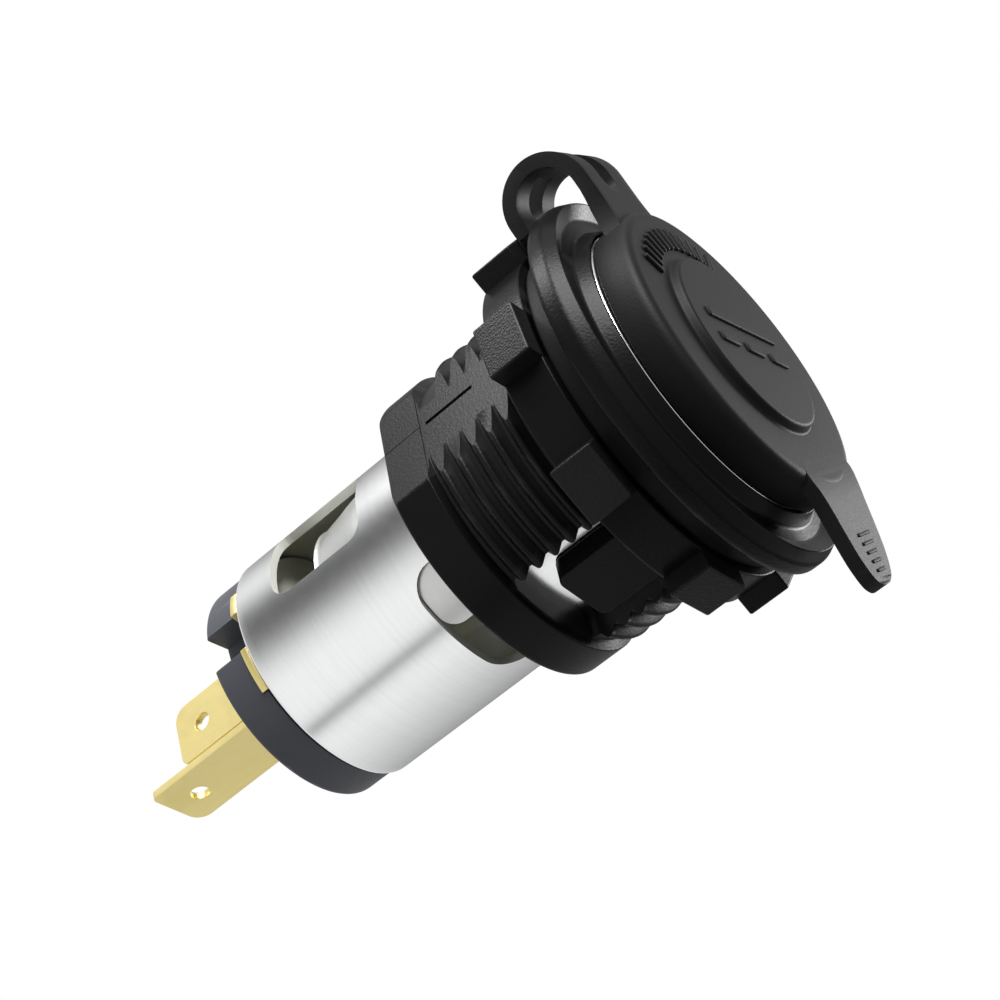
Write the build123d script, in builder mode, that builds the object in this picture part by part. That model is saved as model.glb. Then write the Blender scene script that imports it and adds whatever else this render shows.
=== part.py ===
import os
from math import cos, radians, sin

from build123d import *

os.makedirs("parts", exist_ok=True)

# Panel-mount 12 V power socket, in millimetres.
# z = 0 is the face of the cap ring that rests on the panel, +Z runs out through the cap.
# +Y points to the cap's strap, so the cap turns about a line along X.

# Metal shell: the bore takes a standard 12 V plug
shell_inner_r = 10.5
shell_wall = 0.7
shell_outer_r = shell_inner_r + shell_wall
shell_rear = -39.5
relief_r = shell_inner_r + 0.2
relief_top = -23.6
mouth_r = relief_r
mouth_deep = 3.5
lip_r = shell_outer_r + 3.6
lip_thick = 0.7
side_window_angle = 124.5
side_window_width = 9.4
side_window_rear = -35.4
side_window_front = -24.8
side_tongue_width = 6.6
side_tongue_long = 6.4
side_tongue_thick = 0.55
side_tongue_dip = 1.3
mid_window_angle = 214.5
mid_window_width = 12.7
mid_window_rear = -22.6
mid_window_front = -15.2

# Housing
ring_thick = 2.0
flange_r = 18.7
flange_back = ring_thick
flange_rim = flange_back + 2.6
crease_r = flange_r - 2.0
crease_z = flange_rim + 0.9
face_r = lip_r + 0.3
face_z = crease_z + 0.1
crest_r = shell_outer_r + 3.4
root_r = crest_r - 0.9
body_r = crest_r - 0.05
body_rear = -19.8
band_front = -14.6
pitch = 1.8
thread_turns = 8
flat_angle = 138.0
flat_distance = crest_r - 1.2
slit_long = 5.3
slit_middle = -9.6
window_angle = 228.0
window_width = 10.6
window_rear = -13.4
window_front = -3.4
tongue_width = 6.2
tongue_thick = root_r - shell_outer_r - 0.15
tongue_end = -11.8

# Ring nut
nut_high = 4.2
nut_bore_r = crest_r + 0.1
nut_ring_r = nut_bore_r + 2.3
nut_lug_r = flange_r - 0.1
nut_lugs = 8
nut_lug_width = 5.4
nut_phase = 104.0

# Cap ring, strap and cap, one soft moulding cut where it flexes
ring_outer_r = flange_r - 0.9
ring_inner_r = nut_bore_r + 0.1
cap_low = face_z + lip_thick
cap_top = cap_low + 2.9
cap_r = lip_r - 0.3
cap_disc_r = 8.8
cap_disc_high = 0.8
plug_r = mouth_r - 0.35
plug_wall = 1.5
plug_deep = mouth_deep - 0.5
cap_web = 1.6
tab_tip_y = -cap_r - 8.6
tab_thick = 1.3
tab_droop = 6.0
strap_width = 8.6
strap_thick = 1.3
strap_slot = 3.0
strap_root_y = ring_outer_r + 0.2
strap_bend_y = flange_r - 0.1
strap_join_y = cap_r + 1.9
strap_low_z = ring_thick / 2
strap_high_z = cap_top - 0.7

# Rear insulator, terminals and centre contact
base_r = shell_outer_r - 0.1
base_rear = shell_rear - 4.3
base_inner = shell_rear + 2.0
blade_width = 6.3
blade_thick = 0.8
positive_tip = base_rear - 15.3
ground_tip = base_rear - 12.4
blade_corner = 1.1
blade_hole_r = 0.9
blade_hole_up = 3.2
blade_angle = 145.0
positive_along = 1.4
positive_offset = 3.7
ground_offset = 2.3
ground_shift = 1.8
notch_angle = 149.0
notch_width = 3.8
notch_deep = 3.0
strip_thick = 0.8
strip_low = shell_rear - strip_thick
strip_start = 126.0
strip_end = 181.0
strip_inner = 6.8
bridge_end = 8.0
foot_long = 8.0
rivet_r = 1.2
rivet_head_r = 2.0
rivet_head_high = 0.7
rivet_along = 2.3
rivet_back = 0.3
contact_r = 5.2
contact_thick = 0.8


def turned(angle, radius, height):
    # A place at a radius, height and turn about Z, with its own X pointing outwards.
    return Location((0, 0, 0), (0, 0, angle)) * Location((radius, 0, height))


def radial_plane(angle, radius, height):
    # A plane facing outwards: its X runs round the axis and its Y runs along +Z.
    out = Vector(cos(radians(angle)), sin(radians(angle)), 0)
    return Plane(out * radius + Vector(0, 0, height), (-out.Y, out.X, 0), out)


# Housing: the flange and threaded body in one black moulding, bored for the metal shell.
with BuildPart() as housing:
    thread = []
    for turn in range(thread_turns):
        start = band_front + 0.5 + turn * pitch
        thread += [(root_r, start), (crest_r, start + 0.5), (crest_r, start + 0.9), (root_r, start + 1.4)]
    profile = [(shell_outer_r, body_rear), (body_r - 0.5, body_rear), (body_r, body_rear + 0.5)]
    profile += [(body_r, band_front - 0.3), (root_r, band_front + 0.1)] + thread + [(root_r, flange_back)]
    profile += [(flange_r, flange_back), (flange_r, flange_rim), (crease_r, crease_z), (face_r, face_z)]
    profile += [(shell_outer_r, face_z)]
    with BuildSketch(Plane.XZ):
        with BuildLine():
            Polyline(profile, close=True)
        make_face()
    revolve(axis=Axis.Z)
    rim = housing.edges().filter_by(GeomType.CIRCLE).filter_by(lambda e: e.radius > crease_r + 0.1)
    fillet(rim.sort_by(Axis.Z)[0], radius=0.5)
    rim = housing.edges().filter_by(GeomType.CIRCLE).filter_by(lambda e: e.radius > crease_r + 0.1)
    fillet(rim.sort_by(Axis.Z)[-1], radius=1.0)
    for angle in (flat_angle, flat_angle + 180):
        flat_high = -0.6 - body_rear + 1
        with Locations(turned(angle, flat_distance + 3, body_rear - 1 + flat_high / 2)):
            Box(6, 30, flat_high, mode=Mode.SUBTRACT)
        with Locations(turned(angle, flat_distance, slit_middle)):
            Box(1.0, 0.5, slit_long, mode=Mode.SUBTRACT)
    for angle in (window_angle, window_angle + 180):
        middle = (window_rear + window_front) / 2
        with BuildSketch(radial_plane(angle, shell_outer_r - 3, middle)):
            RectangleRounded(window_width, window_front - window_rear, 0.8)
        extrude(amount=8, mode=Mode.SUBTRACT)
        tongue_long = window_front + 0.4 - tongue_end
        with BuildSketch(radial_plane(angle, shell_outer_r + 0.1, tongue_end + tongue_long / 2)) as tongue:
            Rectangle(tongue_width, tongue_long)
            fillet(tongue.vertices().group_by(Axis.Y)[0], radius=0.9)
        extrude(amount=tongue_thick)
housing.part.label = "housing"
export_step(housing.part, "parts/housing.step")

# Ring nut: a plain ring with eight grip lugs, screwed on from behind the panel.
with BuildPart() as ring_nut:
    with BuildSketch(Plane.XY.offset(-nut_high)):
        Circle(nut_ring_r)
        for lug in range(nut_lugs):
            with Locations(Location((0, 0, 0), (0, 0, nut_phase + lug * 360 / nut_lugs))):
                with Locations((nut_lug_r / 2, 0)):
                    Rectangle(nut_lug_r, nut_lug_width)
        Circle(nut_bore_r, mode=Mode.SUBTRACT)
    extrude(amount=nut_high)
    with BuildSketch(Plane.XZ):
        with BuildLine():
            corner_r = nut_lug_r + 0.22
            Polyline((0, 1), (0, -nut_high - 1), (nut_lug_r - 1, -nut_high - 1), (corner_r, -nut_high + 0.3),
                     (corner_r, 1), close=True)
        make_face()
    revolve(axis=Axis.Z, mode=Mode.INTERSECT)
ring_nut.part.label = "ring_nut"
export_step(ring_nut.part, "parts/ring_nut.step")

# Cap ring: the flat ring of the soft moulding, held between flange and panel, with the strap's root.
with BuildPart() as cap_ring:
    with BuildSketch():
        Circle(ring_outer_r)
        with Locations((0, strap_root_y / 2)):
            Rectangle(strap_width, strap_root_y)
        Circle(ring_inner_r, mode=Mode.SUBTRACT)
    extrude(amount=ring_thick)
cap_ring.part.label = "cap_ring"
export_step(cap_ring.part, "parts/cap_ring.step")

# Cap strap: the loop that carries the cap round the flange's rim, slotted along its middle.
bend_r = (strap_high_z - strap_low_z) / 2
bend_z = strap_low_z + bend_r
with BuildPart() as cap_strap:
    with BuildSketch(Plane.YZ):
        with BuildLine() as loop:
            Line((strap_root_y, strap_low_z), (strap_bend_y, strap_low_z))
            ThreePointArc((strap_bend_y, strap_low_z), (strap_bend_y + bend_r, bend_z),
                          (strap_bend_y, strap_high_z))
            Line((strap_bend_y, strap_high_z), (strap_join_y, strap_high_z))
        trace(line_width=strap_thick)
    extrude(amount=strap_width / 2, both=True)
    # The traced line has round ends, which are cut square where the moulding goes on.
    with Locations((0, strap_root_y - 5, strap_low_z)):
        Box(20, 10, 3, mode=Mode.SUBTRACT)
    with Locations((0, strap_join_y - 5, strap_high_z)):
        Box(20, 10, 3, mode=Mode.SUBTRACT)
    with BuildSketch(Plane.XY.offset(-5)):
        with Locations((0, strap_bend_y + 1.9 + bend_r)):
            Rectangle(strap_slot, 2 * bend_r)
        with Locations((0, strap_bend_y + 1.9)):
            Circle(strap_slot / 2)
    extrude(amount=bend_z + 5, mode=Mode.SUBTRACT)
    with BuildSketch(Plane.XY.offset(bend_z)):
        with Locations((0, strap_bend_y + bend_r)):
            Rectangle(strap_slot, 2 * bend_r)
        with Locations((0, strap_bend_y)):
            Circle(strap_slot / 2)
    extrude(amount=8, mode=Mode.SUBTRACT)
cap_strap.part.label = "cap_strap"
export_step(cap_strap.part, "parts/cap_strap.step")

# Cap: a disc with a raised centre, a hollow plug below, the strap's end and a pull tab.
with BuildPart() as cap:
    with BuildSketch(Plane.XZ):
        with BuildLine():
            Polyline((0, cap_top - cap_web), (plug_r - plug_wall, cap_top - cap_web),
                     (plug_r - plug_wall, cap_low - plug_deep),
                     (plug_r - 0.5, cap_low - plug_deep), (plug_r, cap_low - plug_deep + 0.8),
                     (plug_r, cap_low), (cap_r, cap_low), (cap_r, cap_top), (0, cap_top), close=True)
        make_face()
    revolve(axis=Axis.Z)
    fillet(cap.faces().sort_by(Axis.Z)[-1].edges(), radius=0.9)
    with BuildSketch(Plane.XY.offset(strap_high_z - strap_thick / 2)):
        with BuildLine():
            half = strap_width / 2
            right = Spline((half, strap_join_y), (half + 0.35, cap_r + 0.2), (half + 2.6, cap_r - 2.15))
            Line(right @ 1, (-half - 2.6, cap_r - 2.15))
            Spline((-half - 2.6, cap_r - 2.15), (-half - 0.35, cap_r + 0.2), (-half, strap_join_y))
            Line((-half, strap_join_y), right @ 0)
        make_face()
    extrude(amount=strap_thick)
    tab_up = (0, -sin(radians(tab_droop)), cos(radians(tab_droop)))
    with BuildSketch(Plane((0, 2.5 - cap_r, cap_top - 0.15), (1, 0, 0), tab_up)):
        tip = tab_tip_y + cap_r - 2.5
        with BuildLine():
            right = Spline((7.2, 1.2), (5.5, -2.2), (4.8, -5.0), (3.4, tip + 2.4))
            ThreePointArc(right @ 1, (0, tip), (-3.4, tip + 2.4))
            left = Spline((-3.4, tip + 2.4), (-4.8, -5.0), (-5.5, -2.2), (-7.2, 1.2))
            Line(left @ 1, right @ 0)
        make_face()
    extrude(amount=-tab_thick)
    with BuildSketch(Plane.XY.offset(cap_top)):
        Circle(cap_disc_r)
    extrude(amount=cap_disc_high)
    fillet(cap.faces().sort_by(Axis.Z)[-1].edges(), radius=0.35)
cap.part.label = "cap"
export_step(cap.part, "parts/cap.step")

# Socket shell: the drawn metal barrel with its front lip, pierced windows and pressed-in contact tongues.
with BuildPart() as socket_shell:
    with BuildSketch(Plane.XZ):
        with BuildLine():
            mouth_z = face_z + lip_thick
            Polyline((relief_r, shell_rear), (shell_outer_r, shell_rear), (shell_outer_r, face_z),
                     (lip_r, face_z), (lip_r, mouth_z), (mouth_r, mouth_z),
                     (mouth_r, mouth_z - mouth_deep + 0.2), (shell_inner_r, mouth_z - mouth_deep),
                     (shell_inner_r, relief_top), (relief_r, relief_top - 0.2), close=True)
        make_face()
    revolve(axis=Axis.Z)
    mouth = socket_shell.edges().filter_by(GeomType.CIRCLE).group_by(Axis.Z)[-1]
    fillet(mouth, radius=0.3)
    for angle in (side_window_angle, side_window_angle + 180):
        middle = (side_window_rear + side_window_front) / 2
        with BuildSketch(radial_plane(angle, 2, middle)):
            RectangleRounded(side_window_width, side_window_front - side_window_rear, 1.6)
        extrude(amount=12, mode=Mode.SUBTRACT)
    for angle in (mid_window_angle, mid_window_angle + 180):
        middle = (mid_window_rear + mid_window_front) / 2
        with BuildSketch(radial_plane(angle, 2, middle)):
            RectangleRounded(mid_window_width, mid_window_front - mid_window_rear, 2.6)
        extrude(amount=12, mode=Mode.SUBTRACT)
    for angle in (side_window_angle, side_window_angle + 180):
        out = Vector(cos(radians(angle)), sin(radians(angle)), 0)
        front = side_window_front
        with BuildSketch(Plane((0, 0, 0), out, (out.Y, -out.X, 0))):
            with BuildLine():
                edge = shell_outer_r - 0.35
                inside = edge - side_tongue_thick
                tip = front - side_tongue_long
                Polyline((edge, front + 0.5), (edge, front - 1.2), (edge - side_tongue_dip, tip),
                         (inside - side_tongue_dip, tip + 0.1), (inside, front - 1.0), (inside, front + 0.5),
                         close=True)
            make_face()
        extrude(amount=side_tongue_width / 2, both=True)
socket_shell.part.label = "socket_shell"
export_step(socket_shell.part, "parts/socket_shell.step")

# Rim strip: the outline of the ground terminal's flat part, which runs out under the shell's rear edge.
across = Location((0, 0, 0), (0, 0, blade_angle))
with BuildSketch(Plane.XY.offset(strip_low)) as rim_strip:
    Circle(shell_outer_r + 0.15)
    Circle(strip_inner, mode=Mode.SUBTRACT)
    with BuildLine():
        ends = [(30 * cos(radians(a)), 30 * sin(radians(a))) for a in (strip_start, strip_end)]
        Polyline((0, 0), *ends, close=True)
    make_face(mode=Mode.INTERSECT)
    bridge_start = ground_offset - blade_thick / 2
    with Locations(across * Location(((bridge_start + bridge_end) / 2, -ground_shift, 0))):
        Rectangle(bridge_end - bridge_start, blade_width)
    with Locations(turned(notch_angle, base_r, 0)):
        Rectangle(2 * notch_deep, notch_width, mode=Mode.SUBTRACT)

# Rear insulator: the stepped plug that closes the shell and carries both terminals.
with BuildPart() as rear_insulator:
    with BuildSketch(Plane.XZ):
        with BuildLine():
            Polyline((0, base_rear), (base_r - 0.5, base_rear), (base_r, base_rear + 0.5),
                     (base_r, shell_rear), (relief_r, shell_rear), (relief_r, base_inner),
                     (0, base_inner), close=True)
        make_face()
    revolve(axis=Axis.Z)
    with Locations(turned(notch_angle, base_r, (base_rear + shell_rear) / 2)):
        Box(2 * notch_deep, notch_width, shell_rear - base_rear, mode=Mode.SUBTRACT)
    with Locations(across * Location((positive_along, positive_offset, (base_rear + base_inner) / 2))):
        Box(blade_width, blade_thick, base_inner - base_rear + 2, mode=Mode.SUBTRACT)
    with Locations(across * Location((ground_offset, -ground_shift, (base_rear - 1 + strip_low) / 2))):
        Box(blade_thick, blade_width, strip_low - base_rear + 1, mode=Mode.SUBTRACT)
    extrude(rim_strip.sketch, amount=strip_thick, mode=Mode.SUBTRACT)
    with Locations(across * Location((-rivet_back, -rivet_along, (base_rear + base_inner) / 2))):
        Cylinder(rivet_r, base_inner - base_rear + 2, mode=Mode.SUBTRACT)
rear_insulator.part.label = "rear_insulator"
export_step(rear_insulator.part, "parts/rear_insulator.step")

# Positive terminal: a brass blade through the insulator, folded over inside as the rivet's foot.
with BuildPart() as positive_terminal:
    with Locations(across * Location((positive_along, positive_offset, (positive_tip + base_inner) / 2))):
        Box(blade_width, blade_thick, base_inner - positive_tip)
    chamfer(positive_terminal.edges().filter_by(lambda e: abs(e.center().Z - positive_tip) < 0.01
            and e.length < 2), length=blade_corner)
    foot_middle = positive_offset + blade_thick / 2 - foot_long / 2
    with Locations(across * Location((positive_along, foot_middle, base_inner + blade_thick / 2))):
        Box(blade_width, foot_long, blade_thick)
    hole_z = positive_tip + blade_hole_up
    with Locations(across * Location((positive_along, positive_offset, hole_z), (90, 0, 0))):
        Cylinder(blade_hole_r, 6, mode=Mode.SUBTRACT)
    with Locations(across * Location((-rivet_back, -rivet_along, base_inner))):
        Cylinder(rivet_r, 6, mode=Mode.SUBTRACT)
positive_terminal.part.label = "positive_terminal"
export_step(positive_terminal.part, "parts/positive_terminal.step")

# Ground terminal: a second blade, folded over into the strip that the shell's rear edge presses on.
with BuildPart() as ground_terminal:
    with Locations(across * Location((ground_offset, -ground_shift, (ground_tip + strip_low) / 2))):
        Box(blade_thick, blade_width, strip_low - ground_tip)
    chamfer(ground_terminal.edges().filter_by(lambda e: abs(e.center().Z - ground_tip) < 0.01
            and e.length < 2), length=blade_corner)
    extrude(rim_strip.sketch, amount=strip_thick)
    with Locations(across * Location((ground_offset, -ground_shift, ground_tip + blade_hole_up), (0, 90, 0))):
        Cylinder(blade_hole_r, 6, mode=Mode.SUBTRACT)
ground_terminal.part.label = "ground_terminal"
export_step(ground_terminal.part, "parts/ground_terminal.step")

# Centre contact: the spring disc that the plug's tip presses on.
contact_low = base_inner + blade_thick
with BuildPart() as centre_contact:
    with BuildSketch(Plane.XY.offset(contact_low)):
        Circle(contact_r)
    extrude(amount=contact_thick)
    with Locations(across * Location((-rivet_back, -rivet_along, contact_low))):
        Cylinder(rivet_r, 6, mode=Mode.SUBTRACT)
centre_contact.part.label = "centre_contact"
export_step(centre_contact.part, "parts/centre_contact.step")

# Centre rivet: it clamps contact, blade foot and insulator together.
with BuildPart() as centre_rivet:
    top = contact_low + contact_thick
    with Locations(across * Location((-rivet_back, -rivet_along, (top + base_rear) / 2))):
        Cylinder(rivet_r, top - base_rear)
    with Locations(across * Location((-rivet_back, -rivet_along, top + rivet_head_high / 2))):
        Cylinder(rivet_head_r, rivet_head_high)
    with Locations(across * Location((-rivet_back, -rivet_along, base_rear - rivet_head_high / 2))):
        Cylinder(rivet_head_r, rivet_head_high)
centre_rivet.part.label = "centre_rivet"
export_step(centre_rivet.part, "parts/centre_rivet.step")
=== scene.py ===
import math
import bpy
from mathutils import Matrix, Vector


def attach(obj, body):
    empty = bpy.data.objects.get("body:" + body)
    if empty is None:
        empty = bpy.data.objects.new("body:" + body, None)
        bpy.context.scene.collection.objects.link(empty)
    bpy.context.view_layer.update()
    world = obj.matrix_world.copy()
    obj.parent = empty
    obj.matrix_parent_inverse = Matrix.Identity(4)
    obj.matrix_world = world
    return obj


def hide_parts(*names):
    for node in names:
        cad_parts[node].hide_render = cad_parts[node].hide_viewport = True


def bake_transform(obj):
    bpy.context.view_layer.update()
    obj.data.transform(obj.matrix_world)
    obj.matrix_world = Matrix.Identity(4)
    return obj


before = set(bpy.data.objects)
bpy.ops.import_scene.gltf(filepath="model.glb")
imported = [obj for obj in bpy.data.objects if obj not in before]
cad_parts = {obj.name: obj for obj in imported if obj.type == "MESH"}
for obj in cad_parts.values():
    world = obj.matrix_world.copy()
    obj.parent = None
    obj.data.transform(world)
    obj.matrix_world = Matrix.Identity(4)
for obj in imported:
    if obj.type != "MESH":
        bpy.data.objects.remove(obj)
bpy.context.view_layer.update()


# Housing: flange and threaded body in one black moulding with a fine matt texture.
# The thread is broken by two flats, and two windows hold a spring tongue each.
# The metal barrel is pushed in from the front, and the ring nut runs on the thread.
mm = 0.001
flat_turn = 138.0
window_turn = 228.0


def nothing_selected():
    if bpy.context.mode != "OBJECT":
        bpy.ops.object.mode_set(mode="OBJECT")
    bpy.ops.object.select_all(action="DESELECT")


def only(piece):
    nothing_selected()
    piece.select_set(True)
    bpy.context.view_layer.objects.active = piece


def round_off(corners, steps=6):
    # Corners are (radius, height, rounding), and a rounding above zero becomes a short curve.
    line = []
    for count, (r, z, soft) in enumerate(corners):
        here = Vector((r, z))
        if soft <= 0:
            line.append(here)
            continue
        back = Vector(corners[count - 1][:2]) - here
        ahead = Vector(corners[(count + 1) % len(corners)][:2]) - here
        reach = soft / math.tan(back.angle(ahead) / 2)
        reach = min(reach, back.length * 0.49, ahead.length * 0.49)
        first = here + back.normalized() * reach
        last = here + ahead.normalized() * reach
        for step in range(steps + 1):
            t = step / steps
            line.append(first * (1 - t) ** 2 + here * 2 * t * (1 - t) + last * t * t)
    return line


def draw_line(name, points):
    # One vertex is drawn out along a line of points, given in millimetres.
    nothing_selected()
    bpy.ops.mesh.primitive_plane_add(size=mm)
    piece = bpy.context.object
    piece.name = piece.data.name = name
    bpy.ops.object.mode_set(mode="EDIT")
    bpy.ops.mesh.select_mode(type="VERT")
    bpy.ops.mesh.select_all(action="SELECT")
    bpy.ops.mesh.merge(type="CENTER")
    bpy.ops.transform.translate(value=Vector(points[0]) * mm)
    for here, there in zip(points, points[1:]):
        step = (Vector(there) - Vector(here)) * mm
        bpy.ops.mesh.extrude_region_move(TRANSFORM_OT_translate={"value": step})
    bpy.ops.mesh.select_all(action="SELECT")
    bpy.ops.mesh.remove_doubles(threshold=1e-7)
    return piece


def lathe(name, corners, steps=192):
    # The half section is spun about the socket's axis and its seam is closed.
    line = [(p.x, 0, p.y) for p in round_off(corners)]
    if corners[0][0] > 0 and corners[-1][0] > 0:
        line.append(line[0])
    piece = draw_line(name, line)
    bpy.ops.mesh.spin(steps=steps, angle=math.tau, center=(0, 0, 0), axis=(0, 0, 1))
    bpy.ops.mesh.select_all(action="SELECT")
    bpy.ops.mesh.remove_doubles(threshold=2e-6)
    bpy.ops.mesh.normals_make_consistent(inside=False)
    bpy.ops.object.mode_set(mode="OBJECT")
    return piece


def place(piece, turn=(0, 0, 0), shift=(0, 0, 0)):
    # The piece is turned and moved, and its place is kept in the mesh.
    only(piece)
    piece.rotation_euler = [math.radians(a) for a in turn]
    piece.location = Vector(shift) * mm
    bpy.ops.object.transform_apply(location=True, rotation=True, scale=True)
    return piece


def bevel_edges(piece, choose, offset, segments=4):
    only(piece)
    bpy.ops.object.mode_set(mode="EDIT")
    bpy.ops.mesh.select_mode(type="EDGE")
    bpy.ops.mesh.select_all(action="DESELECT")
    bpy.ops.object.mode_set(mode="OBJECT")
    points = piece.data.vertices
    for edge in piece.data.edges:
        a, b = (points[v].co for v in edge.vertices)
        edge.select = bool(choose((a + b) / 2 / mm, (b - a).normalized()))
    bpy.ops.object.mode_set(mode="EDIT")
    bpy.ops.mesh.bevel(offset=offset * mm, segments=segments, affect="EDGES")
    bpy.ops.object.mode_set(mode="OBJECT")
    return piece


def block(name, size, middle, turn=0.0, corner=0.0):
    # A block given as outwards, round and up, turned about the axis; corner rounds its outline.
    nothing_selected()
    bpy.ops.mesh.primitive_cube_add(size=1)
    piece = bpy.context.object
    piece.name = piece.data.name = name
    piece.scale = Vector(size) * mm
    piece.location = Vector(middle) * mm
    bpy.ops.object.transform_apply(location=True, rotation=True, scale=True)
    if corner > 0:
        bevel_edges(piece, lambda at, way: abs(way.x) > 0.9, corner, 8)
    return place(piece, (0, 0, turn))


def together(first, *others):
    only(first)
    for other in others:
        other.select_set(True)
    bpy.ops.object.join()
    return first


def carve(piece, tool, operation="DIFFERENCE"):
    only(piece)
    step = piece.modifiers.new("carve", "BOOLEAN")
    step.operation = operation
    step.solver = "EXACT"
    step.object = tool
    bpy.ops.object.modifier_apply(modifier=step.name)
    only(tool)
    bpy.ops.object.delete()
    return piece


def ease_edges(piece, width, segments=2, over=40.0):
    only(piece)
    step = piece.modifiers.new("ease", "BEVEL")
    step.width = width * mm
    step.segments = segments
    step.limit_method = "ANGLE"
    step.angle_limit = math.radians(over)
    step.use_clamp_overlap = True
    bpy.ops.object.modifier_apply(modifier=step.name)
    return smooth(piece)


def smooth(piece, under=38.0):
    # Large faces keep their own shading, so small eased edges do not bend it.
    only(piece)
    bpy.ops.object.shade_smooth_by_angle(angle=math.radians(under))
    step = piece.modifiers.new("shading", "WEIGHTED_NORMAL")
    step.keep_sharp = True
    bpy.ops.object.modifier_apply(modifier=step.name)
    return piece


def moulded_grain():
    # Fine texture of a moulded face: a height, a roughness mask, slow random tone and an edge mask, which
    # lightens edges as wear and as a painted highlight.
    group = bpy.data.node_groups.new("Moulded grain", "ShaderNodeTree")
    face = group.interface
    for name, value in (("Grain", 2600.0), ("Cloud", 90.0)):
        face.new_socket(name=name, in_out="INPUT", socket_type="NodeSocketFloat").default_value = value
    for name in ("Height", "Mask", "Cloudiness", "Edge"):
        face.new_socket(name=name, in_out="OUTPUT", socket_type="NodeSocketFloat")
    node, link = group.nodes, group.links
    into, out = node.new("NodeGroupInput"), node.new("NodeGroupOutput")
    where = node.new("ShaderNodeTexCoord")
    grain, cloud = node.new("ShaderNodeTexNoise"), node.new("ShaderNodeTexNoise")
    pits = node.new("ShaderNodeTexVoronoi")
    grain.inputs["Detail"].default_value = 4
    cloud.inputs["Detail"].default_value = 3
    mix = node.new("ShaderNodeMath")
    mix.operation = "ADD"
    for texture in (grain, cloud, pits):
        link.new(where.outputs["Object"], texture.inputs["Vector"])
    link.new(into.outputs["Grain"], grain.inputs["Scale"])
    link.new(into.outputs["Grain"], pits.inputs["Scale"])
    link.new(into.outputs["Cloud"], cloud.inputs["Scale"])
    link.new(grain.outputs["Fac"], mix.inputs[0])
    link.new(pits.outputs["Distance"], mix.inputs[1])
    link.new(mix.outputs[0], out.inputs["Height"])
    link.new(grain.outputs["Fac"], out.inputs["Mask"])
    link.new(cloud.outputs["Fac"], out.inputs["Cloudiness"])
    # Edge mask: edges found by pointiness, patchy by the cloud; they get a lighter tone, partly wear and
    # partly a painted highlight.
    shape, edge = node.new("ShaderNodeNewGeometry"), node.new("ShaderNodeMapRange")
    wear_and_glint = node.new("ShaderNodeMath")
    edge.inputs["From Min"].default_value = 0.52
    edge.inputs["From Max"].default_value = 0.6
    wear_and_glint.operation = "MULTIPLY"
    link.new(shape.outputs["Pointiness"], edge.inputs["Value"])
    link.new(edge.outputs["Result"], wear_and_glint.inputs[0])
    link.new(cloud.outputs["Fac"], wear_and_glint.inputs[1])
    link.new(wear_and_glint.outputs[0], out.inputs["Edge"])
    return group


grain_group = moulded_grain()


def finish(name, dark, light, wear_and_glint, rough, metallic, grain, cloud, bump, depth, gloss=0.5):
    # A material with two near tones, a third on edges as wear and painted highlight, grain in its roughness
    # and a fine bump.
    material = bpy.data.materials.new(name)
    material.use_nodes = True
    node, link = material.node_tree.nodes, material.node_tree.links
    shader = node["Principled BSDF"]
    shader.inputs["Metallic"].default_value = metallic
    shader.inputs["Specular IOR Level"].default_value = gloss
    group = node.new("ShaderNodeGroup")
    group.node_tree = grain_group
    group.inputs["Grain"].default_value = grain
    group.inputs["Cloud"].default_value = cloud
    tone = node.new("ShaderNodeMix")
    tone.data_type = "RGBA"
    tone.inputs["A"].default_value = (*dark, 1)
    tone.inputs["B"].default_value = (*light, 1)
    sheen = node.new("ShaderNodeMapRange")
    sheen.inputs["To Min"].default_value = rough[0]
    sheen.inputs["To Max"].default_value = rough[1]
    relief = node.new("ShaderNodeBump")
    relief.inputs["Strength"].default_value = bump
    relief.inputs["Distance"].default_value = depth * mm
    link.new(group.outputs["Cloudiness"], tone.inputs["Factor"])
    # Edges take the lighter third tone: wear together with a painted highlight.
    edge_wear_and_glint = node.new("ShaderNodeMix")
    edge_wear_and_glint.data_type = "RGBA"
    edge_wear_and_glint.inputs["B"].default_value = (*wear_and_glint, 1)
    link.new(tone.outputs["Result"], edge_wear_and_glint.inputs["A"])
    link.new(group.outputs["Edge"], edge_wear_and_glint.inputs["Factor"])
    link.new(edge_wear_and_glint.outputs["Result"], shader.inputs["Base Color"])
    link.new(group.outputs["Mask"], sheen.inputs["Value"])
    link.new(sheen.outputs["Result"], shader.inputs["Roughness"])
    link.new(group.outputs["Height"], relief.inputs["Height"])
    link.new(relief.outputs["Normal"], shader.inputs["Normal"])
    return material


black_plastic = finish("black plastic", (0.002, 0.002, 0.0021), (0.004, 0.004, 0.0041), (0.015, 0.015, 0.015),
                       (0.25, 0.38), 0, 3800, 70, 0.3, 0.03, 0.09)

housing = lathe("housing_moulding", [
    (11.5, -18.9, 0), (14.55, -18.9, 0.45), (14.55, -14.95, 0.15), (13.7, -14.5, 0.1), (13.7, 2.3, 0.2),
    (18.7, 2.3, 0.6), (18.7, 4.0, 1.3), (18.1, 5.15, 0.12), (16.7, 4.35, 0.7), (15.3, 4.5, 0.5),
    (14.75, 5.7, 0.1), (14.5, 5.7, 0), (14.5, 5.1, 0), (11.5, 5.1, 0)])
ridge = draw_line("thread_ridge", [
    (13.4, 0, -14.4), (13.75, 0, -14.36), (14.42, 0, -13.92), (14.56, 0, -13.78), (14.6, 0, -13.62),
    (14.56, 0, -13.46), (14.42, 0, -13.32), (13.75, 0, -12.88), (13.4, 0, -12.84), (13.4, 0, -14.4)])
bpy.ops.object.mode_set(mode="OBJECT")
winding = ridge.modifiers.new("winding", "SCREW")
winding.screw_offset = 1.8 * mm
winding.iterations = 7
winding.steps = winding.render_steps = 120
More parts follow.
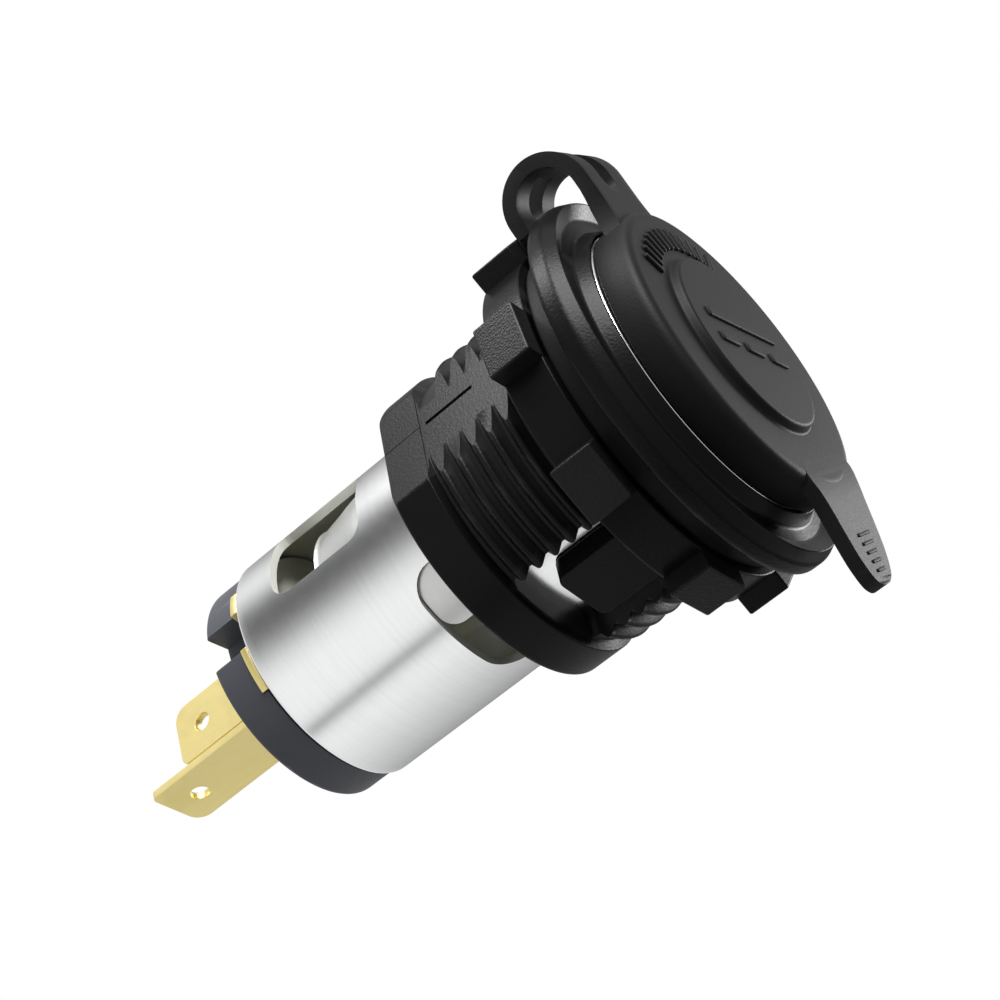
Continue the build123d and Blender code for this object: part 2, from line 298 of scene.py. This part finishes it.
winding.use_merge_vertices = False
only(ridge)
bpy.ops.object.modifier_apply(modifier=winding.name)
bpy.ops.object.mode_set(mode="EDIT")
bpy.ops.mesh.select_all(action="SELECT")
bpy.ops.mesh.remove_doubles(threshold=1e-6)
bpy.ops.mesh.select_all(action="DESELECT")
bpy.ops.mesh.select_non_manifold()
bpy.ops.mesh.fill_holes(sides=0)
bpy.ops.mesh.select_all(action="SELECT")
bpy.ops.mesh.normals_make_consistent(inside=False)
bpy.ops.object.mode_set(mode="OBJECT")
place(ridge, (0, 0, flat_turn))
carve(housing, ridge, "UNION")
for turn in (flat_turn, flat_turn + 180):
    carve(housing, block("flat_tool", (6, 30, 14.2), (16.4, 0, -7.7), turn))
    carve(housing, block("flat_tool", (6, 30, 8), (16.5, 0, -18.6), turn))
    carve(housing, block("seam_tool", (0.16, 0.09, 8), (13.52, -0.8, -16.5), turn))
openings = together(block("window_tool", (6, 10.6, 11.2), (13.2, 0, -9.0), window_turn, 0.8),
                    block("window_tool", (6, 10.6, 11.2), (13.2, 0, -9.0), window_turn + 180, 0.8),
                    block("slit_tool", (1.2, 0.42, 5.3), (13.4, -0.8, -11.5), flat_turn),
                    block("slit_tool", (1.2, 0.42, 5.3), (13.4, -0.8, -11.5), flat_turn + 180))
carve(housing, openings)
ease_edges(housing, 0.09)
for turn in (window_turn, window_turn + 180):
    tongue = block("spring_tongue", (2.35, 6.2, 8.8), (12.475, 0, -7.4), turn, 0.9)
    together(housing, ease_edges(tongue, 0.15, 3))
housing.data.materials.append(black_plastic)
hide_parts("housing")
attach(housing, "socket")


# Ring nut: the same black plastic, a ring with eight square lugs for the fingers.
# The lugs' outer faces have a coarse spark-eroded grain, and the ring is smooth.
nut_grain = finish("coarse grained plastic", (0.003, 0.003, 0.0031), (0.006, 0.006, 0.0061),
                   (0.02, 0.02, 0.02), (0.28, 0.46), 0, 5200, 160, 0.45, 0.05, 0.13)
nut = lathe("nut_moulding", [
    (14.7, -4.2, 0.3), (17.0, -4.2, 0.35), (17.0, 0, 0.2), (14.7, 0, 0.2)])
smooth(nut)
nut.data.materials.append(black_plastic)
nut.data.materials.append(nut_grain)
lug_count = 8
first_lug_turn = 104
for step in range(lug_count):
    turn = first_lug_turn + 360 / lug_count * step
    lug = block("nut_lug", (3.4, 5.4, 4.2), (16.9, 0, -2.1), turn)
    ease_edges(lug, 0.22, 3)
    lug.data.materials.append(black_plastic)
    lug.data.materials.append(nut_grain)
    out = Vector((math.cos(math.radians(turn)), math.sin(math.radians(turn)), 0))
    for face in lug.data.polygons:
        face.material_index = 1 if face.normal.dot(out) > 0.95 else 0
    together(nut, lug)
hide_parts("ring_nut")
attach(nut, "nut")


# Cap ring: the flat ring of the soft moulding, nipped between flange and panel.
# A tongue of it reaches out under the flange's rim to the strap.
soft_rubber = finish("soft rubber", (0.003, 0.003, 0.0031), (0.0055, 0.0055, 0.0056), (0.012, 0.012, 0.012),
                     (0.46, 0.6), 0, 4400, 60, 0.25, 0.025, 0.12)
cap_ring = lathe("ring_moulding", [
    (14.8, 0, 0.1), (16.2, 0, 0.3), (16.2, 2.3, 0.15), (14.8, 2.3, 0.1)])
together(cap_ring, ease_edges(block("strap_root", (3.4, 8.6, 1.3), (16.2, 0, 0.75), 90), 0.12))
smooth(cap_ring)
cap_ring.data.materials.append(soft_rubber)
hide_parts("cap_ring")
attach(cap_ring, "socket")


# Cap strap: the loop that joins ring and cap, bending round the flange's rim.
# A long slot along its middle leaves two rails, so that it bends easily.
strap_width = 8.6
strap_low = 0.75
bend_y, bend_z, bend_r = 18.85, 4.25, 3.5
strap_high = bend_z + bend_r
edge_x = -strap_width / 2
path = [(edge_x, 16.6, strap_low), (edge_x, 17.3, strap_low), (edge_x, 18.1, strap_low)]
for step in range(33):
    bend = math.pi * step / 32
    path.append((edge_x, bend_y + bend_r * math.sin(bend), bend_z - bend_r * math.cos(bend)))
for step in range(1, 14):
    path.append((edge_x, bend_y - 0.5 * step, strap_high))
strap = draw_line("strap_loop", path)
for step in range(10):
    bpy.ops.mesh.extrude_region_move(TRANSFORM_OT_translate={"value": (strap_width / 10 * mm, 0, 0)})
bpy.ops.mesh.select_all(action="SELECT")
bpy.ops.mesh.remove_doubles(threshold=1e-6)
bpy.ops.mesh.normals_make_consistent(inside=False)
bpy.ops.object.mode_set(mode="OBJECT")
for point in strap.data.vertices:
    if point.co.z > 7.5 * mm:
        near = min(1, max(0, (16.6 - point.co.y / mm) / 4.4))
        point.co.x *= 1 + 0.35 * near ** 2.2
only(strap)
wall = strap.modifiers.new("wall", "SOLIDIFY")
wall.thickness = 1.3 * mm
wall.offset = 0
bpy.ops.object.modifier_apply(modifier=wall.name)
for point in strap.data.vertices:
    near = min(1, max(0, (18.2 - point.co.y / mm) / 3.4))
    if 6.6 * mm < point.co.z < 7.7 * mm:
        point.co.z -= 0.35 * mm * near * near * (3 - 2 * near)
slots = together(block("slot_tool", (9, 3, 7), (23.0, 0, 9.0), 90),
                 block("slot_tool", (9, 3, 6), (25.0, 0, 1.0), 90))
for centre, low in ((18.5, 5.5), (20.5, -2.0)):
    nothing_selected()
    bpy.ops.mesh.primitive_cylinder_add(vertices=48, radius=1.5 * mm, depth=6 * mm,
                                        location=(0, centre * mm, (low + 3) * mm))
    end = bpy.context.object
    bpy.ops.object.transform_apply(location=True, rotation=True, scale=True)
    carve(strap, end)
carve(strap, slots)
ease_edges(strap, 0.18, 3)
strap.data.materials.append(soft_rubber)
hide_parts("cap_strap")
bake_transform(strap)


# Cap: a soft moulded disc with a round edge, a raised centre and a pull tab, plugging the bore.
# Short ribs and the sign for direct current stand up from it, moulded in the same rubber.
cap = lathe("cap_moulding", [
    (0, 7.6, 0), (8.85, 7.6, 0.4), (8.85, 3.3, 0.2), (9.7, 3.3, 0.25), (10.2, 4.1, 0.3), (10.2, 5.75, 0.2),
    (14.5, 5.75, 0.3), (14.5, 9.2, 1.0), (9.0, 9.2, 0.3), (8.75, 10.0, 0.4), (0, 10.0, 0)])
smooth(cap)


def curve_through(keys, steps=6):
    # A smooth line through all the keys, passing each in the direction of its neighbours.
    keys = [Vector(key) for key in keys]
    line = []
    for count in range(len(keys) - 1):
        a, b = keys[count], keys[count + 1]
        leave = (b - keys[max(count - 1, 0)]) / 2
        arrive = (keys[min(count + 2, len(keys) - 1)] - a) / 2
        for step in range(steps):
            t = step / steps
            line.append(a * (2 * t ** 3 - 3 * t ** 2 + 1) + leave * (t ** 3 - 2 * t ** 2 + t)
                        + b * (3 * t ** 2 - 2 * t ** 3) + arrive * (t ** 3 - t ** 2))
    return line + [keys[-1]]


side = [
    (5.4, -11.4, 0), (6.1, -12.4, 0), (6.15, -13.2, 0), (5.7, -14.3, 0), (5.35, -15.3, 0), (5.0, -16.5, 0),
    (4.6, -18.2, 0), (3.9, -20.4, 0), (2.7, -22.2, 0), (1.3, -22.95, 0), (0, -23.1, 0)]
half = curve_through(side)
outline = half + [Vector((-p.x, p.y, 0)) for p in reversed(half[:-1])]
tab = draw_line("pull_tab", outline + outline[:1])
bpy.ops.mesh.edge_face_add()
bpy.ops.mesh.extrude_region_move(TRANSFORM_OT_translate={"value": (0, 0, 12 * mm)})
bpy.ops.mesh.select_all(action="SELECT")
bpy.ops.mesh.normals_make_consistent(inside=False)
bpy.ops.object.mode_set(mode="OBJECT")
droop, level = [], 9.21
for step in range(32):
    y = -11.0 - 0.4 * step
    level -= 0.4 * math.tan(math.radians(10 * min(1, max(0, (-12.6 - y) / 3))))
    droop.append((-8, y, level))
slab = draw_line("tab_slab", droop + [(x, y, z - 1.3) for x, y, z in reversed(droop)] + droop[:1])
bpy.ops.mesh.edge_face_add()
bpy.ops.mesh.extrude_region_move(TRANSFORM_OT_translate={"value": (16 * mm, 0, 0)})
bpy.ops.mesh.select_all(action="SELECT")
bpy.ops.mesh.normals_make_consistent(inside=False)
bpy.ops.object.mode_set(mode="OBJECT")
carve(tab, slab, "INTERSECT")
ease_edges(tab, 0.3, 4)
for step in range(5):
    x, y, z = droop[19 + 2 * step]
    rib = block("tab_rib", (0.32, 3.4 - 0.3 * step, 0.3), (y, 0, z), 90)
    together(tab, ease_edges(rib, 0.09, 3))
together(cap, tab)
marks = []
for step in range(13):
    marks.append(block("cap_rib", (2.3, 0.5, 0.5), (11.2, 0, 9.25), 90 + 6.6 * (step - 6)))
marks.append(block("current_sign", (1.0, 11.6, 0.5), (1.5, 0, 10.0), 72))
for step in (-1, 0, 1):
    marks.append(block("current_sign", (1.0, 2.8, 0.5), (-1.1, 4.4 * step, 10.0), 72))
for mark in marks:
    together(cap, ease_edges(mark, 0.14, 3))
place(cap, (0, 0, 0), (0.36, -0.17, 0))
cap.data.materials.append(soft_rubber)
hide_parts("cap")
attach(cap, "cap")


# Socket shell: a drawn barrel of thin plated metal with a turned-out lip at the mouth.
# Windows are pierced in its side, and tongues beside them are pressed inwards to grip the plug.
def rolling_marks():
    # Fine lines that drawing and rolling leave in sheet metal, stretched along the way it was worked.
    group = bpy.data.node_groups.new("Rolling marks", "ShaderNodeTree")
    face = group.interface
    face.new_socket(name="Stretch", in_out="INPUT", socket_type="NodeSocketVector")
    for name in ("Height", "Tint"):
        face.new_socket(name=name, in_out="OUTPUT", socket_type="NodeSocketFloat")
    node, link = group.nodes, group.links
    into, out = node.new("NodeGroupInput"), node.new("NodeGroupOutput")
    where, worked = node.new("ShaderNodeTexCoord"), node.new("ShaderNodeMapping")
    lines, tint = node.new("ShaderNodeTexNoise"), node.new("ShaderNodeMapRange")
    lines.inputs["Scale"].default_value = 1
    lines.inputs["Detail"].default_value = 3
    tint.inputs["From Min"].default_value = 0.3
    tint.inputs["From Max"].default_value = 0.7
    tint.inputs["To Min"].default_value = 0.965
    link.new(where.outputs["Object"], worked.inputs["Vector"])
    link.new(into.outputs["Stretch"], worked.inputs["Scale"])
    link.new(worked.outputs["Vector"], lines.inputs["Vector"])
    link.new(lines.outputs["Fac"], out.inputs["Height"])
    link.new(lines.outputs["Fac"], tint.inputs["Value"])
    link.new(tint.outputs["Result"], out.inputs["Tint"])
    return group


marks_group = rolling_marks()


def worked_metal(material, stretch, bump):
    # Rolling marks are laid over the material's own tones and grain.
    node, link = material.node_tree.nodes, material.node_tree.links
    shader = node["Principled BSDF"]
    marks = node.new("ShaderNodeGroup")
    marks.node_tree = marks_group
    marks.inputs["Stretch"].default_value = stretch
    tinted, relief = node.new("ShaderNodeMix"), node.new("ShaderNodeBump")
    tinted.data_type = "RGBA"
    tinted.blend_type = "MULTIPLY"
    tinted.inputs["Factor"].default_value = 1
    relief.inputs["Strength"].default_value = bump
    relief.inputs["Distance"].default_value = 0.005 * mm
    link.new(shader.inputs["Base Color"].links[0].from_socket, tinted.inputs["A"])
    link.new(marks.outputs["Tint"], tinted.inputs["B"])
    link.new(tinted.outputs["Result"], shader.inputs["Base Color"])
    link.new(shader.inputs["Normal"].links[0].from_socket, relief.inputs["Normal"])
    link.new(marks.outputs["Height"], relief.inputs["Height"])
    link.new(relief.outputs["Normal"], shader.inputs["Normal"])


bright_plate = finish("bright plate", (0.86, 0.865, 0.87), (0.92, 0.925, 0.93), (0.95, 0.95, 0.95),
                      (0.17, 0.24), 1, 900, 40, 0.03, 0.01)
dull_plate = finish("dull plate", (0.42, 0.43, 0.38), (0.5, 0.51, 0.46), (0.6, 0.6, 0.56), (0.4, 0.55), 0.3,
                    1500, 60, 0.06, 0.02)
satin_plate = finish("satin plate", (0.58, 0.59, 0.57), (0.66, 0.67, 0.65), (0.8, 0.8, 0.79), (0.28, 0.4), 1,
                     1100, 50, 0.05, 0.015)
worked_metal(bright_plate, (50, 50, 4000), 0.08)
worked_metal(satin_plate, (50, 50, 4000), 0.15)
outside = [(11.5, -38.5 + step, 0) for step in range(44)]
inside = [(10.5, 2.0 - step, 0) for step in range(25)]
relief = [(10.7, -24.5 - step, 0) for step in range(14)]
shell = lathe("barrel", [
    (10.7, -39.5, 0.1), (11.5, -39.5, 0.25), *outside, (11.5, 5.1, 0.2), (14.3, 5.1, 0.25), (14.3, 5.7, 0.25),
    (10.7, 5.7, 0.4), (10.7, 3.0, 0), (10.5, 2.8, 0), *inside, (10.5, -23.6, 0), (10.7, -23.8, 0), *relief])
side_turns = (126.0, 306.0)
middle_turns = (214.5, 34.5)
leaf_turns = (193, 13)
side_tools = [block("window_tool", (12, 9.4, 10.6), (8, 0, -29.7), turn, 1.6) for turn in side_turns]
middle_tools = [block("window_tool", (12, 12.7, 8.2), (8, 0, -18.9), turn, 2.6) for turn in middle_turns]
pierced = together(*side_tools, *middle_tools)
carve(shell, pierced)
smooth(shell)
shell.data.materials.append(bright_plate)
shell.data.materials.append(dull_plate)
for face in shell.data.polygons:
    out = Vector((face.center.x, face.center.y, 0))
    lean = face.normal.dot(out.normalized())
    cut = abs(lean) < 0.9 and -36 * mm < face.center.z < -14 * mm
    face.material_index = 1 if cut or (out.length < 10.72 * mm and lean < -0.5) else 0
for turn in side_turns:
    dip = curve_through([
        (10.45, -22.4, 0), (10.45, -25.2, 0), (10.3, -26.8, 0), (9.95, -28.6, 0), (9.65, -30.3, 0),
        (9.55, -31.0, 0), (9.65, -31.4, 0)])
    grip = lathe("grip_tongue", [(p.x, p.y, 0) for p in dip] + [(p.x - 0.5, p.y, 0) for p in reversed(dip)])
    carve(grip, block("tongue_tool", (8, 8.4, 14), (10, 0, -27), turn), "INTERSECT")
    grip.data.materials.append(satin_plate)
    together(shell, ease_edges(grip, 0.08))
for turn in leaf_turns:
    leaf = lathe("contact_leaf", [(10.52, -24, 0), (11.1, -24, 0), (11.1, -14, 0), (10.52, -14, 0)])
    carve(leaf, block("leaf_tool", (6, 6.9, 9.2), (10.5, 0, -18.2), turn, 1.6), "INTERSECT")
    leaf.data.materials.append(satin_plate)
    together(shell, ease_edges(leaf, 0.08))
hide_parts("socket_shell")
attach(shell, "socket")


# Rear insulator: a stepped plug of dark blue-grey plastic that closes the barrel.
# A notch in its rim marks the ground side, and the blades pass through moulded slots.
slate_plastic = finish("slate plastic", (0.02, 0.022, 0.028), (0.03, 0.033, 0.041), (0.075, 0.081, 0.093),
                       (0.4, 0.55), 0, 2800, 80, 0.15, 0.02, 0.38)
fibre = finish("pressed fibre", (0.36, 0.36, 0.31), (0.46, 0.46, 0.4), (0.5, 0.5, 0.44), (0.6, 0.75), 0,
               2400, 120, 0.2, 0.03)
insulator = lathe("insulator_plug", [
    (0, -43.8, 0), (11.1, -43.8, 0.5), (11.1, -39.8, 0.12), (10.75, -39.75, 0), (10.7, -37.5, 0.2),
    (0, -37.5, 0)])
carve(insulator, block("notch_tool", (6.0, 3.8, 4.8), (11.1, 0, -41.9), 149))
for turn, width in ((132.7, 2.75), (169.9, 4.48)):
    carve(insulator, block("ledge_tool", (6, width, 0.9), (11.2, 0, -39.85), turn))
carve(insulator, block("slot_tool", (6.9, 1.3, 2.0), (1.4, 3.7, -43.8), 145))
carve(insulator, block("slot_tool", (1.3, 6.9, 2.0), (2.3, -1.8, -43.8), 145))
ease_edges(insulator, 0.15, 3)
insulator.data.materials.append(slate_plastic)
washer = lathe("fibre_washer", [(6.4, -37.5, 0), (10.4, -37.5, 0), (10.4, -37.1, 0.1), (6.4, -37.1, 0.1)])
smooth(washer)
washer.data.materials.append(fibre)
together(insulator, washer)
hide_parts("rear_insulator")
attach(insulator, "socket")


# Terminals: two stamped brass blades with chamfered ends and a locking hole.
# The positive blade is riveted inside; the ground blade ends in a strip under the barrel's rim.
stamped_brass = finish("stamped brass", (0.76, 0.63, 0.23), (0.84, 0.71, 0.31), (0.9, 0.78, 0.42),
                       (0.34, 0.46), 1, 1100, 60, 0.06, 0.01)
worked_metal(stamped_brass, (3000, 3000, 60), 0.2)
for name, size, middle, tip in (("positive_terminal", (6.3, 0.8, 21.6), (1.4, 3.7, -48.3), -59.1),
                                ("ground_terminal", (0.8, 6.3, 16.3), (2.3, -1.8, -48.05), -56.2)):
    blade = block(name.replace("terminal", "blade"), size, middle)
    wide = 0 if size[0] > size[1] else 1
    for high, corner in ((True, 0.6 if wide == 0 else 1.5), (False, 1.5 if wide == 0 else 0.8)):
        upper = high if wide == 0 else not high
        bevel_edges(blade, lambda at, way: at.z < tip + 0.01 and abs(way[1 - wide]) > 0.9
                    and (at[wide] > middle[wide]) == upper, corner, 6)
    nothing_selected()
    turn = (math.radians(90), 0, 0) if wide == 0 else (0, math.radians(90), 0)
    bpy.ops.mesh.primitive_cylinder_add(vertices=40, radius=0.9 * mm, depth=6 * mm, rotation=turn,
                                        location=(middle[0] * mm, middle[1] * mm, (tip + 3.2) * mm))
    hole = bpy.context.object
    bpy.ops.object.transform_apply(location=True, rotation=True, scale=True)
    carve(blade, hole)
    ease_edges(blade, 0.1, 2)
    place(blade, (0, 0, 145))
    if name == "positive_terminal":
        foot = block("blade_foot", (6.3, 8.0, 0.8), (1.4, 0.1, -37.1), 145)
        together(blade, ease_edges(foot, 0.1))
    else:
        together(blade, ease_edges(block("bridge", (6.1, 6.3, 0.7), (4.95, -1.8, -39.9), 145), 0.1))
        for turn, width in ((132.7, 2.65), (169.9, 4.38)):
            strip = lathe("rim_strip", [
                (8.0, -40.28, 0), (11.38, -40.28, 0), (11.38, -39.52, 0), (8.0, -39.52, 0)])
            carve(strip, block("strip_tool", (6, width, 4), (11.0, 0, -40), turn), "INTERSECT")
            together(blade, ease_edges(strip, 0.1))
    blade.data.materials.append(stamped_brass)
    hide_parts(name)
    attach(blade, "socket")


# Centre contact and rivet: a brass disc at the bottom of the barrel for the plug's tip.
# The rivet clamps the disc and the blade's foot to the insulator, and is headed over behind.
contact = lathe("contact_disc", [(0, -36.7, 0), (5.2, -36.7, 0.15), (5.2, -35.9, 0.3), (0, -35.9, 0)], 96)
smooth(contact)
rivet = lathe("rivet_pin", [
    (0, -44.5, 0), (1.5, -44.5, 0.3), (2.0, -43.8, 0.2), (1.2, -43.8, 0), (1.2, -35.9, 0), (2.0, -35.9, 0.2),
    (1.5, -35.2, 0.3), (0, -35.2, 0)], 64)
smooth(place(rivet, (0, 0, 0), (1.565, 1.712, 0)))
for piece, node in ((contact, "centre_contact"), (rivet, "centre_rivet")):
    piece.data.materials.append(stamped_brass)
    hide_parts(node)
    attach(piece, "socket")


# Camera: the photograph looks from the left of the strap, a little above the panel's plane,
# with the socket's axis running up to the right of the picture.
tilt, roll, distance, scale = math.radians(68.3), math.radians(38.3), 200.0, 11.8
up_left = Vector((math.cos(math.radians(100)), math.sin(math.radians(100)), 0))
nearer = Vector((math.cos(math.radians(190)), math.sin(math.radians(190)), 0))
axis = Vector((0, 0, 1))
towards = axis * math.cos(tilt) + nearer * math.sin(tilt)
along = axis * math.sin(tilt) - nearer * math.cos(tilt)
right = along * math.cos(roll) - up_left * math.sin(roll)
upward = along * math.sin(roll) + up_left * math.cos(roll)
picture_size = 1000
origin_across, origin_down = 655, 410
shift_x = (origin_across - picture_size / 2) / scale
shift_y = (origin_down - picture_size / 2) / scale
nothing_selected()
bpy.ops.object.camera_add()
camera = bpy.context.object
camera.location = (towards * distance - right * shift_x + upward * shift_y) * mm
camera.rotation_mode = "QUATERNION"
camera.rotation_quaternion = towards.to_track_quat("Z", "Y")
turned = camera.rotation_quaternion.to_matrix()
for column, way in enumerate((right, upward, towards)):
    turned.col[column] = way
camera.rotation_quaternion = turned.to_quaternion()
camera.data.sensor_width = 36
camera.data.lens = scale * distance * camera.data.sensor_width / picture_size
camera.data.clip_start, camera.data.clip_end = 0.005, 20
bpy.context.scene.camera = camera


# Floor and light: a white sweep and soft boxes, the largest above the picture's top edge.
# The floor is white to the camera. To reflections it glows with painted soft panels, which paint the metal's
# bright and dark bands as painted reflection.
bpy.context.scene.view_settings.view_transform = "Standard"
nothing_selected()
floor_depth = 59.5
bpy.ops.mesh.primitive_plane_add(size=6, location=(0, 0, -floor_depth * mm))
floor = bpy.context.object
bpy.ops.object.transform_apply(location=True, rotation=True, scale=True)
floor.name = "floor"
white = bpy.data.materials.new("white sweep")
white.use_nodes = True
node, link = white.node_tree.nodes, white.node_tree.links
shader, base = node["Principled BSDF"], node["Material Output"]
shader.inputs["Base Color"].default_value = (0.8, 0.8, 0.8, 1)
rays, spread, painted_panels = [node.new("ShaderNode" + kind) for kind in ("LightPath", "TexGradient", "ValToRGB")]
lamp, mirror = node.new("ShaderNodeEmission"), node.new("ShaderNodeEmission")
under_lamp, under_mirror = node.new("ShaderNodeMixShader"), node.new("ShaderNodeMixShader")
place_on = node.new("ShaderNodeTexCoord")
spread.gradient_type = "RADIAL"
painted_panels.color_ramp.interpolation = "B_SPLINE"
# Brightness of the painted panels round the floor, by their angle from +X; only reflections see this glow,
# and it paints the metal's bands.
ring = [
    (190, 1.0), (209, 1.0), (217, 0.8), (222, 0.1), (227, 0.8), (235, 1.0), (254, 0.94), (286, 0.66),
    (318, 0.48), (366, 0.22), (390, 0.24), (406, 0.38), (422, 0.56), (438, 0.86), (450, 0.86), (462, 0.48),
    (474, 0.15), (486, 0.1), (498, 0.18), (510, 0.44), (522, 0.8), (536, 1.0)]
stops = painted_panels.color_ramp.elements
while len(stops) < len(ring):
    stops.new(0.5)
for stop, (turn, level) in zip(stops, ring):
    stop.position = (turn - 180) / 360
    stop.color = (level, level, level, 1)
link.new(place_on.outputs["Object"], spread.inputs["Vector"])
link.new(spread.outputs["Fac"], painted_panels.inputs["Fac"])
# In reflections the floor close under the socket glows one plain tone, and far away it is dark.
reach = node.new("ShaderNodeVectorMath")
far, outer = node.new("ShaderNodeMapRange"), node.new("ShaderNodeMix")
reach.operation = "LENGTH"
far.interpolation_type = "SMOOTHSTEP"
far.inputs["From Min"].default_value = 0.2
far.inputs["From Max"].default_value = 0.26
outer.data_type = "RGBA"
outer.inputs["B"].default_value = (0.12, 0.12, 0.12, 1)
near, inner = node.new("ShaderNodeMapRange"), node.new("ShaderNodeMix")
near.interpolation_type = "SMOOTHSTEP"
near.inputs["From Min"].default_value = 0.067
near.inputs["From Max"].default_value = 0.075
inner.data_type = "RGBA"
inner.inputs["A"].default_value = (0.85, 0.85, 0.85, 1)
link.new(place_on.outputs["Object"], reach.inputs[0])
link.new(reach.outputs["Value"], far.inputs["Value"])
link.new(far.outputs["Result"], outer.inputs["Factor"])
link.new(reach.outputs["Value"], near.inputs["Value"])
link.new(near.outputs["Result"], inner.inputs["Factor"])
link.new(painted_panels.outputs["Color"], inner.inputs["B"])
link.new(inner.outputs["Result"], outer.inputs["A"])
link.new(outer.outputs["Result"], mirror.inputs["Color"])
seen = node.new("ShaderNodeMath")
seen.operation = "ADD"
seen.use_clamp = True
link.new(rays.outputs["Is Camera Ray"], seen.inputs[0])
link.new(rays.outputs["Is Transmission Ray"], seen.inputs[1])
link.new(rays.outputs["Is Glossy Ray"], under_mirror.inputs["Fac"])
link.new(shader.outputs[0], under_mirror.inputs[1])
link.new(mirror.outputs[0], under_mirror.inputs[2])
link.new(seen.outputs[0], under_lamp.inputs["Fac"])
link.new(under_mirror.outputs[0], under_lamp.inputs[1])
link.new(lamp.outputs[0], under_lamp.inputs[2])
link.new(under_lamp.outputs[0], base.inputs["Surface"])
floor.data.materials.append(white)
world = bpy.data.worlds.new("white room")
world.use_nodes = True
bpy.context.scene.world = world
node, link = world.node_tree.nodes, world.node_tree.links
rays = node.new("ShaderNodeLightPath")
room, shine = node.new("ShaderNodeMapRange"), node.new("ShaderNodeMapRange")
shine.inputs["To Min"].default_value = 0.5
shine.inputs["To Max"].default_value = 0.6
room.inputs["To Max"].default_value = 1.0
link.new(rays.outputs["Is Glossy Ray"], shine.inputs["Value"])
link.new(shine.outputs["Result"], room.inputs["To Min"])
seen = node.new("ShaderNodeMath")
seen.operation = "ADD"
seen.use_clamp = True
link.new(rays.outputs["Is Camera Ray"], seen.inputs[0])
link.new(rays.outputs["Is Transmission Ray"], seen.inputs[1])
link.new(seen.outputs[0], room.inputs["Value"])
link.new(room.outputs["Result"], node["Background"].inputs["Strength"])
node["Background"].inputs["Color"].default_value = (1, 1, 1, 1)
middle = Vector((0, 0, -0.018))
for name, spot, size, power in (
        ("side box", up_left * 0.135 - nearer * 0.01 - axis * 0.012, 0.05, 0.11),
        ("top box", up_left * 0.36 + axis * 0.2 + nearer * 0.04, 0.26, 4.5),
        ("back box", right * 0.45 + upward * 0.1 - towards * 0.36, 0.18, 1.6)):
    nothing_selected()
    bpy.ops.object.light_add(type="AREA", location=middle + spot)
    box = bpy.context.object
    box.name = name
    box.data.size = size
    box.data.energy = power
    box.rotation_mode = "QUATERNION"
    box.rotation_quaternion = spot.to_track_quat("Z", "Y")
